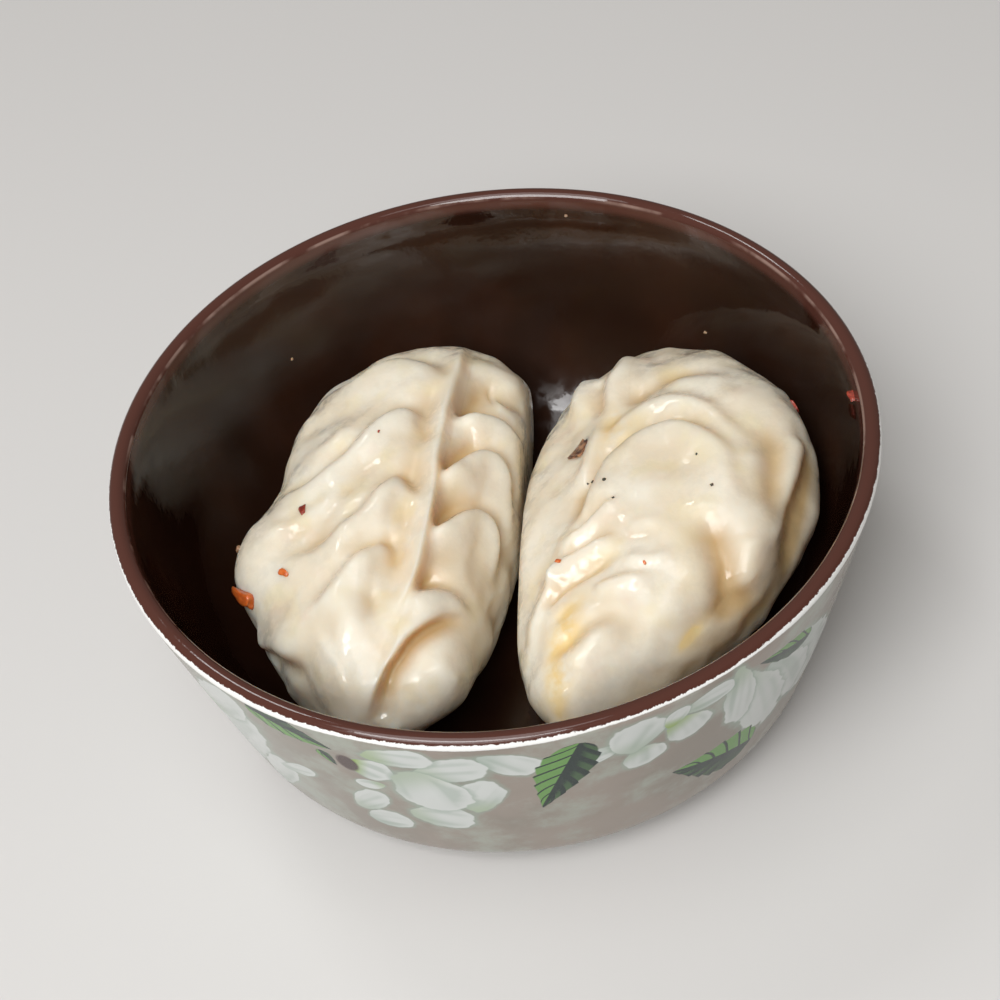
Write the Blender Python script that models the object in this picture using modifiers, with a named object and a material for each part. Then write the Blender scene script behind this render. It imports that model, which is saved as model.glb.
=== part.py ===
"""Two steamed momo dumplings in the small bowl that they are served in.

Metres, +Z up. The origin is under the middle of the bowl, on the surface that it stands on, and
-Y is the front. Each dumpling is an oval of dough, gathered along a seam on its top: s runs along
it from the near tip (-1) to the far tip (1), and t is the angle round it in degrees, from the seam
(0) down the right side (to 180) or down the left side (to -180).
"""
import math

import bmesh
import bpy
from mathutils import Matrix, Vector

MM = 0.001
GAP = 0.3 * MM  # air between two solids that touch

# The bowl: a turned wall that flares out from a rounded base on a foot ring.
RIM_RADIUS = 57.0 * MM
BOWL_HEIGHT = 46.5 * MM
WALL = 2.7 * MM
BASE_RADIUS = 46.5 * MM  # where the wall would meet the base without its rounded corner
BASE_HEIGHT = 2.5 * MM
WALL_BULGE = 0.87  # under 1 swells the wall between base and rim
CORNER_RADIUS = 9.0 * MM
FLOOR_HEIGHT = 6.0 * MM
COVE_RADIUS = 14.0 * MM
FOOT_RADIUS = 30.0 * MM
FOOT_WIDTH = 2.4 * MM
FOOT_CHAMFER = 0.4 * MM
BOWL_STEPS = 52  # a multiple of 4, so that the bowl is as wide as it is deep

# The dumplings. Lengths in metres, angles in degrees.
SOFTNESS = 2.0 * MM  # how gradually dough flattens against what it touches
MERIDIANS = 34
RINGS = 45
CROWDING = 0.3  # draws the meridians towards the seam, where the pleats are
DEGREE = 0.38 * MM  # what one degree round the dough measures on its surface
PARTING = {"point": (3.0 * MM, 3.0 * MM), "turn": 6.0}  # upright plane where the two lean together

LEFT = {
    "length": 80 * MM, "right": 19 * MM, "left": 22.5 * MM, "height": 29 * MM,
    "belly": 14 * MM, "tip": 10.5 * MM, "crest": 5.3 * MM, "bow": -2 * MM,
    "blunt": 2.85, "round": 0.65, "arch": 3.6, "fall": 0.6, "taper": 0.03,
    "place": (-13.5 * MM, 7 * MM), "heading": 17.5, "roll": 9.0, "side": -1,
}
RIGHT = {
    "length": 77 * MM, "right": 25 * MM, "left": 25 * MM, "height": 28.5 * MM,
    "belly": 16 * MM, "tip": 14.5 * MM, "crest": -1.3 * MM, "bow": 6.7 * MM,
    "blunt": 2.0, "round": 0.66, "arch": 3.0, "fall": 0.55, "taper": 0.15,
    "place": (17.5 * MM, -1.7 * MM), "heading": 20.0, "roll": -25.0, "side": 1,
}

# Folds, as (start s, start t, end s, end t, arch in s, rise, width). A fold runs from start to end,
# swung towards the far tip by its arch. A negative rise presses a valley.
LEFT_FOLDS = [
    (0.62, 3, 0.70, 95, 0.02, 1.6, 3.2),  # pleats down the right side, far one first
    (0.24, 3, 0.38, 80, 0.03, 2.4, 3.4),
    (-0.08, 3, -0.04, 75, 0.14, 2.4, 3.4),
    (-0.36, 4, -0.30, 80, 0.13, 2.4, 3.4),
    (-0.62, 4, -0.56, 60, 0.02, 1.8, 3.2),
    (-0.82, 2, -0.62, 62, 0.05, 2.2, 3.4),
    (0.50, 4, 0.46, 40, 0.0, -2.4, 3.4),  # hollows between them, beside the seam
    (0.10, 4, 0.20, 40, 0.0, -2.4, 3.2),
    (-0.20, 4, -0.10, 40, 0.0, -2.4, 3.2),
    (-0.46, 4, -0.42, 45, 0.0, -2.2, 3.2),
    (-0.86, 8, -0.74, 60, 0.06, -3.6, 3.6),
    (0.29, -16, -0.09, -66, 0.0, -1.1, 2.6),  # soft slanting folds on the left side
    (0.12, -8, -0.20, -50, 0.0, -1.0, 2.6),
    (-0.28, -12, -0.56, -50, 0.0, -1.0, 2.6),
    (-0.80, -35, -0.78, -75, 0.0, -1.4, 2.6),
]
RIGHT_FOLDS = [
    (0.46, 2, 0.06, 66, 0.30, 1.6, 3.6),  # the outer lobe, then the one inside it
    (-0.12, 4, -0.42, 86, 0.36, 2.0, 3.8),
    (0.50, 2, 0.40, 40, 0.16, -1.8, 2.8),  # valleys that part the lobes
    (-0.20, 4, 0.10, 22, 0.06, -1.6, 2.6),
    (0.18, 60, -0.08, 72, 0.0, -2.2, 3.8),
    (-0.38, 72, -0.50, 98, 0.0, -2.2, 4.4),
    (0.06, 78, -0.12, 92, 0.0, 1.6, 3.6),  # ridges down the right flank
    (-0.32, 88, -0.44, 104, 0.0, 1.4, 3.6),
    (-0.40, 3, -0.24, 20, 0.0, 1.5, 2.2),  # slanting gathers at the seam
    (-0.57, -2, -0.45, 22, 0.0, 1.5, 2.2),
    (-0.48, 0, -0.36, 20, 0.0, -1.2, 2.0),
    (-0.64, 4, -0.54, 44, 0.0, -1.0, 2.2),
    (0.78, -10, 0.36, -3, 0.0, 2.2, 2.4),  # the two pinched ears at the far end
    (0.66, -36, 0.30, -14, 0.0, 2.2, 2.4),
    (0.60, -20, 0.30, -9, 0.0, -2.0, 2.2),
]
FOLD_STEPS = 12  # stretches of a fold from whose ends its distance is measured
FOLD_FADE = 0.5  # share of its rise that a fold loses from start to end
SEAM_RISE = 2.4 * MM
SEAM_WIDTH = 1.6 * MM
SEAM_ENDS = 0.9  # the seam fades out beyond this share of the length


def clear_scene():
    for thing in list(bpy.data.objects):
        bpy.data.objects.remove(thing)


def make_material(name, colour, roughness):
    material = bpy.data.materials.new(name)
    material.use_nodes = True
    shader = material.node_tree.nodes["Principled BSDF"]
    shader.inputs["Base Color"].default_value = (*colour, 1.0)
    shader.inputs["Roughness"].default_value = roughness
    shader.inputs["Metallic"].default_value = 0.0
    return material


def arc(centre, radius, start, end, count):
    """Points of an arc in the (radius, height) plane, with its angles in degrees."""
    points = []
    for i in range(count + 1):
        angle = math.radians(start + (end - start) * i / count)
        points.append((centre[0] + radius * math.cos(angle), centre[1] + radius * math.sin(angle)))
    return points


def outer_radius(z):
    share = (z - BASE_HEIGHT) / (BOWL_HEIGHT - BASE_HEIGHT)
    return BASE_RADIUS + (RIM_RADIUS - BASE_RADIUS) * share**WALL_BULGE


WALL_TILT = math.degrees(math.atan2(RIM_RADIUS - BASE_RADIUS, BOWL_HEIGHT - BASE_HEIGHT))


def corner_centre(bottom, radius, inset):
    """Centre of the rounded corner between a wall and the flat below it."""
    tilt = math.radians(WALL_TILT)
    touch = bottom + radius - radius * math.sin(tilt)
    return (outer_radius(touch) - inset - radius * math.cos(tilt), bottom + radius)


COVE_CENTRE = corner_centre(FLOOR_HEIGHT, COVE_RADIUS, WALL)


def inner_radius(z):
    """Radius of the hollow at a height above the floor."""
    cove_top = COVE_CENTRE[1] - COVE_RADIUS * math.sin(math.radians(WALL_TILT))
    if z > cove_top:
        return outer_radius(z) - WALL
    drop = min(COVE_RADIUS, COVE_CENTRE[1] - z)
    return COVE_CENTRE[0] + math.sqrt(COVE_RADIUS**2 - drop**2)


def bowl_profile():
    """From the middle of the floor, up the inside, over the rim and down the outside to the foot."""
    half = WALL / 2
    inside = arc(COVE_CENTRE, COVE_RADIUS, -90, -WALL_TILT, 5)
    outside = arc(corner_centre(BASE_HEIGHT, CORNER_RADIUS, 0), CORNER_RADIUS, -WALL_TILT, -90, 5)
    top = BOWL_HEIGHT - half
    points = [(0, FLOOR_HEIGHT), (COVE_CENTRE[0] / 2, FLOOR_HEIGHT)] + inside
    for share in (0.4, 0.75):
        z = inside[-1][1] + (top - inside[-1][1]) * share
        points.append((inner_radius(z), z))
    points += arc((RIM_RADIUS - half, top), half, 180, 0, 6)
    for share in (0.3, 0.65):
        z = top + (outside[0][1] - top) * share
        points.append((outer_radius(z), z))
    points += outside
    foot_out = FOOT_RADIUS + FOOT_WIDTH / 2
    foot_in = FOOT_RADIUS - FOOT_WIDTH / 2
    points += [
        (foot_out + FOOT_CHAMFER, BASE_HEIGHT),
        (foot_out, FOOT_CHAMFER),
        (foot_out - FOOT_CHAMFER, 0),
        (foot_in + FOOT_CHAMFER, 0),
        (foot_in, FOOT_CHAMFER),
        (foot_in - FOOT_CHAMFER, BASE_HEIGHT),
        (0, BASE_HEIGHT),
    ]
    return points


def make_bowl(collection, material):
    mesh = bpy.data.meshes.new("bowl")
    points = bowl_profile()
    edges = [(i, i + 1) for i in range(len(points) - 1)]
    mesh.from_pydata([(r, 0, z) for r, z in points], edges, [])
    bowl = bpy.data.objects.new("bowl", mesh)
    collection.objects.link(bowl)
    turn = bowl.modifiers.new("Turn", "SCREW")
    turn.axis = "Z"
    turn.steps = BOWL_STEPS
    turn.render_steps = BOWL_STEPS
    turn.use_merge_vertices = True
    turn.merge_threshold = 0.00005
    turn.use_smooth_shade = True
    mesh.materials.append(material)
    return bowl


def dough_point(momo, s, t):
    """Place on the plain body, upright, with the middle of its underside at the origin."""
    end = max(0.0, 1 - abs(s) ** momo["blunt"]) ** momo["round"]
    rise = max(0.0, 1 - abs(s) ** momo["arch"]) ** momo["fall"]
    side = 1 if t >= 0 else -1
    half = momo["right" if side > 0 else "left"] * end * (1 + momo["taper"] * s) * side
    top = momo["tip"] + (momo["height"] - momo["tip"]) * rise
    belly = momo["tip"] + (momo["belly"] - momo["tip"]) * end
    bottom = momo["tip"] * (1 - end)
    crest = momo["crest"] * end
    angle = math.radians(abs(t))
    if angle < math.pi / 2:
        x = crest + (half - crest) * math.sin(angle)
        z = belly + (top - belly) * math.cos(angle)
    else:  # squarer below the belly, so that the dumpling has a broad underside
        x = half * math.sin(angle) ** 0.75
        z = belly - (belly - bottom) * (-math.cos(angle)) ** 0.75
    return Vector((x + momo["bow"] * (1 - s * s), momo["length"] / 2 * s, z))


def fold_rise(fold, half_length, s, t):
    """How far one fold lifts the dough at (s, t)."""
    s0, t0, s1, t1, arch, rise, width = fold
    nearest = math.inf
    share = 0.0
    for i in range(FOLD_STEPS + 1):
        u = i / FOLD_STEPS
        along = s0 + (s1 - s0) * u + arch * 4 * u * (1 - u)
        around = t0 + (t1 - t0) * u
        away = math.hypot((s - along) * half_length, (t - around) * DEGREE)
        if away < nearest:
            nearest = away
            share = u
    fade = 1 - FOLD_FADE * share
    return rise * MM * fade * math.exp(-((nearest / (width * MM)) ** 2))


def seam_rise(s, t):
    """The pinched seam: a ridge along the crest that dies away at the tips."""
    fade = max(0.0, 1 - (abs(s) / SEAM_ENDS) ** 4)
    return SEAM_RISE * fade * math.exp(-((t * DEGREE / SEAM_WIDTH) ** 2))


def soften(clearance):
    """A clearance that never goes below zero and bends gradually as it gets there."""
    if clearance > SOFTNESS:
        return clearance
    if clearance < -SOFTNESS:
        return 0.0
    return (clearance + SOFTNESS) ** 2 / (4 * SOFTNESS)


def settle(point, side):
    """Flattens the dough on the floor, on the wall and where the dumplings lean together."""
    floor = FLOOR_HEIGHT + GAP
    z = floor + soften(point.z - floor)
    radius = math.hypot(point.x, point.y)
    wall = inner_radius(z) - GAP
    shrink = (wall - soften(wall - radius)) / radius
    x = point.x * shrink
    y = point.y * shrink
    turn = math.radians(PARTING["turn"])
    across = Vector((math.cos(turn), -math.sin(turn), 0))
    offset = (x - PARTING["point"][0]) * across.x + (y - PARTING["point"][1]) * across.y
    clear = GAP + soften(side * offset - GAP)
    return Vector((x, y, z)) + across * (side * clear - offset)


def make_momo(name, momo, folds, collection, material):
    """A sphere with its poles at the tips, whose points go to their places on the dough."""
    shape = bmesh.new()
    bmesh.ops.create_uvsphere(shape, u_segments=MERIDIANS, v_segments=RINGS, radius=1.0)
    places = []
    for vertex in shape.verts:
        s = max(-1.0, min(1.0, vertex.co.z))
        turn = math.atan2(vertex.co.x, vertex.co.y) / math.pi
        t = 180 * turn * abs(turn) ** CROWDING
        places.append((s, t))
        vertex.co = dough_point(momo, s, t)
    bmesh.ops.recalc_face_normals(shape, faces=shape.faces)
    shape.normal_update()
    half_length = momo["length"] / 2
    lifts = []
    for vertex, (s, t) in zip(shape.verts, places):
        lift = seam_rise(s, t) + sum(fold_rise(fold, half_length, s, t) for fold in folds)
        lifts.append(vertex.normal * lift)
    middle = Vector((0, 0, momo["belly"]))
    roll = Matrix.Rotation(math.radians(momo["roll"]), 4, "Y")
    heading = Matrix.Rotation(math.radians(-momo["heading"]), 4, "Z")
    stand = Matrix.Translation((*momo["place"], FLOOR_HEIGHT))
    to_bowl = stand @ heading @ Matrix.Translation(middle) @ roll @ Matrix.Translation(-middle)
    for vertex, lift in zip(shape.verts, lifts):
        vertex.co = settle(to_bowl @ (vertex.co + lift), momo["side"])
    mesh = bpy.data.meshes.new(name)
    shape.to_mesh(mesh)
    shape.free()
    mesh.shade_smooth()
    mesh.materials.append(material)
    dumpling = bpy.data.objects.new(name, mesh)
    collection.objects.link(dumpling)
    return dumpling


def main():
    clear_scene()
    collection = bpy.data.collections.new("momo_bowl")
    bpy.context.scene.collection.children.link(collection)
    glaze = make_material("bowl_glaze", (0.065, 0.032, 0.022), 0.18)
    dough = make_material("steamed_dough", (0.74, 0.64, 0.45), 0.35)
    make_bowl(collection, glaze)
    make_momo("momo_left", LEFT, LEFT_FOLDS, collection, dough)
    make_momo("momo_right", RIGHT, RIGHT_FOLDS, collection, dough)


main()
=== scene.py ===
# %% [markdown]
# # Two steamed momo dumplings in their bowl
#
# A momo is a round of wheat dough, folded over its filling and pinched shut along one seam. The
# fingers that pinch it also pleat it, so one flank falls in soft overlapping laps and the other
# stays nearly smooth. These two were steamed and set side by side in a small melamine bowl, brown
# inside and printed with white blossom outside.
#
# The lesson goes from the outside in: first the camera, floor and lights, then the turned bowl and
# its printed flowers, then the dough, which is sculpted by code, and last the flecks of carrot,
# chilli and pepper.

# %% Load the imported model
import math

import bmesh
import bpy
import numpy as np
from mathutils import Euler, Matrix, Vector, noise


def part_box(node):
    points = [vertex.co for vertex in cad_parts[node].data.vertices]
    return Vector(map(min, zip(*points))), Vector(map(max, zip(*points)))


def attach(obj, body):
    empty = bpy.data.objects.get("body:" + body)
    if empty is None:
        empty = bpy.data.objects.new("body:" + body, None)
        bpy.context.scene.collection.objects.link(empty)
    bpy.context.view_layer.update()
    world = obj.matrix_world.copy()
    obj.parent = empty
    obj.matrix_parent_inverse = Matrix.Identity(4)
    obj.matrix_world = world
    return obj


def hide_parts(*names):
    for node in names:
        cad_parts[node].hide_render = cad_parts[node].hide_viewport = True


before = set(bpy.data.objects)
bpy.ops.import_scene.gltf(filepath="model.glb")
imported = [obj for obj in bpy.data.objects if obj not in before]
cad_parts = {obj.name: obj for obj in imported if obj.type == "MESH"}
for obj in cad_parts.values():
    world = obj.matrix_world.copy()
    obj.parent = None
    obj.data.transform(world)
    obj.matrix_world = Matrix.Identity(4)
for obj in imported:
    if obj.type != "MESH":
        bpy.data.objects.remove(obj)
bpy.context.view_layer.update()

MM = 0.001
_, bowl_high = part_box("bowl")
RIM_RADIUS = bowl_high.x
BOWL_HEIGHT = bowl_high.z
print("bowl", round(RIM_RADIUS / MM, 1), "mm to the rim,", round(BOWL_HEIGHT / MM, 1), "mm high")

# %% [markdown]
# ## Camera
#
# The bowl is seen from above its front edge, by someone who leans over a table with the camera a
# little tilted. Aiming at a point above the middle of the floor and stepping back along the line
# of sight keeps every number readable: where it looks, from how far, how steeply, and the tilt.

# %% Camera
AIM = Vector((0, 0, 31 * MM))
DISTANCE = 307.5 * MM
STEEPNESS = math.radians(46.64)
TILT = math.radians(-9.2)
lens = bpy.data.cameras.new("camera")
lens.sensor_width = 36.0
lens.lens = 72.4
lens.clip_start = 0.01
camera = bpy.data.objects.new("camera", lens)
camera.location = AIM + DISTANCE * Vector((0, -math.cos(STEEPNESS), math.sin(STEEPNESS)))
looking_down = Euler((math.pi / 2 - STEEPNESS, 0, 0)).to_matrix()
camera.rotation_euler = (looking_down @ Matrix.Rotation(TILT, 3, "Z")).to_euler()
bpy.context.scene.collection.objects.link(camera)
bpy.context.scene.camera = camera
bpy.context.scene.view_settings.view_transform = "Standard"
print("camera", [round(c / MM) for c in camera.location], "mm")

# %% [markdown]
# ## Helpers for materials
#
# A procedural material is a chain of small sums, so short helpers make the chains read like
# arithmetic. `wire` puts a number or another node's output on a socket, `calc` is one step of
# arithmetic, `times` multiplies, `blend` mixes two colours, and `ramp` turns a range of values into
# a soft mask from 0 to 1. Every material also has a fine unevenness, and only its size and its
# strength differ. That grain is a node group of its own: it is built once, and `grain` places it
# in a material and sets its size in millimetres.

# %% Helpers for materials


def wire(tree, value, socket):
    if isinstance(value, bpy.types.NodeSocket):
        tree.links.new(value, socket)
    elif socket.type == "RGBA":
        socket.default_value = (*value, 1.0)
    else:
        socket.default_value = value


def calc(tree, operation, *values, clamp=False):
    step = tree.nodes.new("ShaderNodeMath")
    step.operation = operation
    step.use_clamp = clamp
    for value, socket in zip(values, step.inputs):
        wire(tree, value, socket)
    return step.outputs[0]


def times(tree, product, *factors):
    for factor in factors:
        product = calc(tree, "MULTIPLY", product, factor)
    return product


def square_sum(tree, a, b):
    return calc(tree, "ADD", times(tree, a, a), times(tree, b, b))


def blend(tree, share, first, second):
    step = tree.nodes.new("ShaderNodeMix")
    step.data_type = "RGBA"
    wire(tree, share, step.inputs[0])
    wire(tree, first, step.inputs[6])
    wire(tree, second, step.inputs[7])
    return step.outputs[2]


def ramp(tree, value, start, end):
    step = tree.nodes.new("ShaderNodeMapRange")
    step.interpolation_type = "SMOOTHSTEP"
    step.clamp = False  # a smooth step stays between 0 and 1 by itself
    wire(tree, value, step.inputs["Value"])
    wire(tree, start, step.inputs["From Min"])
    wire(tree, end, step.inputs["From Max"])
    return step.outputs["Result"]


def split(tree, vector):
    step = tree.nodes.new("ShaderNodeSeparateXYZ")
    wire(tree, vector, step.inputs[0])
    return step.outputs[0], step.outputs[1], step.outputs[2]


def join(tree, x, y, z):
    step = tree.nodes.new("ShaderNodeCombineXYZ")
    for value, socket in zip((x, y, z), step.inputs):
        wire(tree, value, socket)
    return step.outputs[0]


def millimetres(tree):
    """Object coordinates in millimetres."""
    coordinates = tree.nodes.new("ShaderNodeTexCoord")
    step = tree.nodes.new("ShaderNodeVectorMath")
    step.operation = "SCALE"
    step.inputs["Scale"].default_value = 1 / MM
    tree.links.new(coordinates.outputs["Object"], step.inputs[0])
    return step.outputs[0]


def new_material(name):
    material = bpy.data.materials.new(name)
    material.use_nodes = True
    tree = material.node_tree
    return material, tree, tree.nodes["Principled BSDF"]


def add_bump(tree, shader, height, depth):
    """Relief that is depth millimetres high where height is 1."""
    step = tree.nodes.new("ShaderNodeBump")
    step.inputs["Strength"].default_value = 1.0
    step.inputs["Distance"].default_value = depth * MM
    wire(tree, height, step.inputs["Height"])
    tree.links.new(step.outputs[0], shader.inputs["Normal"])


print("helpers ready")

# %% The grain


def new_group(name, inputs, outputs):
    """A node group; inputs and outputs map a socket's name to its kind."""
    tree = bpy.data.node_groups.new(name, "ShaderNodeTree")
    for label, kind in inputs.items():
        tree.interface.new_socket(label, in_out="INPUT", socket_type="NodeSocket" + kind)
    for label, kind in outputs.items():
        tree.interface.new_socket(label, in_out="OUTPUT", socket_type="NodeSocket" + kind)
    entry = tree.nodes.new("NodeGroupInput")
    leave = tree.nodes.new("NodeGroupOutput")
    return tree, entry.outputs, leave.inputs


def use_group(tree, group, *settings):
    """Places a group; its settings come in the order in which the group names its inputs."""
    step = tree.nodes.new("ShaderNodeGroup")
    step.node_tree = group
    for value, socket in zip(settings, step.inputs):
        wire(tree, value, socket)
    return step.outputs


def make_grain_group():
    inputs = {"Place": "Vector", "Size": "Float", "Detail": "Float", "Roughness": "Float"}
    tree, entry, leave = new_group("grain", inputs, {"Value": "Float"})
    step = tree.nodes.new("ShaderNodeTexNoise")
    wire(tree, entry["Place"], step.inputs["Vector"])
    wire(tree, calc(tree, "DIVIDE", 1.0, entry["Size"]), step.inputs["Scale"])
    wire(tree, entry["Detail"], step.inputs["Detail"])
    wire(tree, entry["Roughness"], step.inputs["Roughness"])
    wire(tree, step.outputs[0], leave["Value"])
    return tree


grain_group = make_grain_group()


def grain(tree, place, size, detail=2.0, roughness=0.5):
    """Noise from 0 to 1 whose lumps are about size millimetres wide."""
    return use_group(tree, grain_group, place, size, detail, roughness)[0]


print("grain of", len(grain_group.nodes), "nodes")

# %% [markdown]
# ## Floor and light
#
# The floor is one pale sheet. The light is that of a table beside a window: one broad soft panel
# in front and to the left, which also makes the bright patch in the curve of the bowl and the wet
# glints on the dough. A weaker panel hangs overhead, a small lamp behind draws the far rim, and a
# dim warm world keeps the sides that face away from going black.

# %% Floor and light
FLOOR_SIZE = 6.0
FLOOR_GREY = (0.62, 0.61, 0.60)
ROOM_GLOW = (1.0, 0.92, 0.82)
ROOM_STRENGTH = 0.165


def make_floor():
    shape = bmesh.new()
    bmesh.ops.create_grid(shape, x_segments=1, y_segments=1, size=FLOOR_SIZE / 2)
    mesh = bpy.data.meshes.new("floor")
    shape.to_mesh(mesh)
    shape.free()
    floor = bpy.data.objects.new("floor", mesh)
    bpy.context.scene.collection.objects.link(floor)
    material, tree, shader = new_material("pale_floor")
    shader.inputs["Base Color"].default_value = (*FLOOR_GREY, 1.0)
    shader.inputs["Roughness"].default_value = 0.8
    mesh.materials.append(material)


def make_panel(name, bearing, height, away, width, tall, watts):
    """A soft panel that faces the bowl.

    Bearing is in degrees from the front towards the right and height in degrees above the floor;
    the distance and the two sides are in metres.
    """
    light = bpy.data.lights.new(name, "AREA")
    light.shape = "RECTANGLE"
    light.size = width
    light.size_y = tall
    light.energy = watts
    panel = bpy.data.objects.new(name, light)
    turn = math.radians(bearing)
    rise = math.radians(height)
    direction = Vector((math.sin(turn) * math.cos(rise), -math.cos(turn) * math.cos(rise), math.sin(rise)))
    panel.location = AIM + away * direction
    panel.rotation_euler = direction.to_track_quat("Z", "Y").to_euler()
    bpy.context.scene.collection.objects.link(panel)


def make_world(colour, strength):
    world = bpy.data.worlds.new("soft_room")
    world.use_nodes = True
    background = world.node_tree.nodes["Background"]
    background.inputs["Color"].default_value = (*colour, 1.0)
    background.inputs["Strength"].default_value = strength
    bpy.context.scene.world = world


make_floor()
make_panel("ceiling", -45, 76, 1.10, 0.60, 0.60, 2.6)
make_panel("window", -25, 50, 1.00, 0.66, 0.52, 10.0)
make_panel("lamp", -140, 58, 1.00, 0.20, 0.20, 1.0)
make_world(ROOM_GLOW, ROOM_STRENGTH)
print("floor and three panels")

# %% [markdown]
# ## The bowl
#
# The real bowl is moulded melamine, so it is a solid of revolution: the same outline all the way
# round. It could be stacked from cylinders, but an outline that is spun round the axis gives one
# closed skin with a rounded rim, a cove between wall and floor, and a foot ring. The outline below
# walks from the middle of the floor up the inside, over the rim and down to the foot.

# %% The bowl's outline
WALL = 2.7 * MM
BASE_RADIUS = 46.5 * MM
BASE_HEIGHT = 2.5 * MM
WALL_BULGE = 0.87
CORNER_RADIUS = 9.0 * MM
FLOOR_HEIGHT = 6.0 * MM
COVE_RADIUS = 24.0 * MM
FOOT_RADIUS = 30.0 * MM
FOOT_WIDTH = 2.4 * MM
FOOT_ROUNDING = 0.4 * MM
BAND_TOP = BOWL_HEIGHT - 0.6 * MM  # the brown lip ends here and the printed ware begins
WALL_TILT = math.degrees(math.atan2(RIM_RADIUS - BASE_RADIUS, BOWL_HEIGHT - BASE_HEIGHT))


def arc(centre, radius, start, end, count):
    points = []
    for i in range(count + 1):
        angle = math.radians(start + (end - start) * i / count)
        points.append((centre[0] + radius * math.cos(angle), centre[1] + radius * math.sin(angle)))
    return points


def outer_radius(z):
    share = (z - BASE_HEIGHT) / (BOWL_HEIGHT - BASE_HEIGHT)
    return BASE_RADIUS + (RIM_RADIUS - BASE_RADIUS) * share**WALL_BULGE


def corner_centre(bottom, radius, inset):
    """Centre of the rounded corner between a wall and the flat below it."""
    tilt = math.radians(WALL_TILT)
    touch = bottom + radius - radius * math.sin(tilt)
    return (outer_radius(touch) - inset - radius * math.cos(tilt), bottom + radius)


COVE_CENTRE = corner_centre(FLOOR_HEIGHT, COVE_RADIUS, WALL)


def inner_radius(z):
    """Radius of the hollow at a height, or at each of an array of heights."""
    z = np.asarray(z, dtype=float)
    cove_top = COVE_CENTRE[1] - COVE_RADIUS * math.sin(math.radians(WALL_TILT))
    drop = np.clip(COVE_CENTRE[1] - z, 0, COVE_RADIUS)
    share = np.clip(z - BASE_HEIGHT, 0, None) / (BOWL_HEIGHT - BASE_HEIGHT)
    wall = BASE_RADIUS + (RIM_RADIUS - BASE_RADIUS) * share**WALL_BULGE - WALL
    return np.where(z > cove_top, wall, COVE_CENTRE[0] + np.sqrt(COVE_RADIUS**2 - drop**2))


def bowl_outline():
    half = WALL / 2
    top = BOWL_HEIGHT - half
    points = [(0, FLOOR_HEIGHT), (COVE_CENTRE[0] / 2, FLOOR_HEIGHT)]
    points += arc(COVE_CENTRE, COVE_RADIUS, -90, -WALL_TILT, 14)
    start = points[-1][1]
    for i in range(1, 9):
        z = start + (top - start) * i / 9
        points.append((float(inner_radius(z)), z))
    points += arc((RIM_RADIUS - half, top), half, 180, -WALL_TILT, 20)
    edge, start = points[-1]
    flare = edge - outer_radius(start)
    outside = arc(corner_centre(BASE_HEIGHT, CORNER_RADIUS, 0), CORNER_RADIUS, -WALL_TILT, -90, 12)
    for i in range(1, 12):
        z = start + (outside[0][1] - start) * i / 12
        points.append((outer_radius(z) + flare * (1 - i / 12), z))
    points += outside
    foot_out = FOOT_RADIUS + FOOT_WIDTH / 2
    foot_in = FOOT_RADIUS - FOOT_WIDTH / 2
    points += [(foot_out + FOOT_ROUNDING, BASE_HEIGHT)]
    points += arc((foot_out - FOOT_ROUNDING, FOOT_ROUNDING), FOOT_ROUNDING, 0, -90, 4)
    points += arc((foot_in + FOOT_ROUNDING, FOOT_ROUNDING), FOOT_ROUNDING, -90, -180, 4)
    points += [(foot_in - FOOT_ROUNDING, BASE_HEIGHT), (0, BASE_HEIGHT)]
    return points


outline = bowl_outline()
print("outline of", len(outline), "points")

# %% [markdown]
# ## Brown melamine
#
# Melamine is a hard glossy plastic whose brown goes all through. A thin broken paler line along
# the inner edge of the rim is a painted highlight. The gloss is not perfect: faint ripples bend what
# it mirrors, and a film of grease dulls patches of it low in the bowl. The lip is painted a lighter
# brown than the hollow, as painted light on a rim that catches more light; cloudy darker patches keep
# the hollow from looking flat.

# %% Brown melamine
BROWN = (0.027, 0.0093, 0.0047)
BROWN_DEEP = (0.015, 0.0055, 0.0031)
# the lip's lighter brown is painted light, for a rim that catches more light
LIT_LIP_BROWN = (0.080, 0.029, 0.021)
INNER_EDGE_HIGHLIGHT = (0.26, 0.17, 0.14)
HIGHLIGHT_INSET = 0.22  # the painted highlight line runs this far outside the edge of the hollow, in millimetres
MOULD_RIPPLE = 0.16
GREASE_HEIGHT = (20.0, 12.0)  # no film above the first height, all of it below the second


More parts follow.
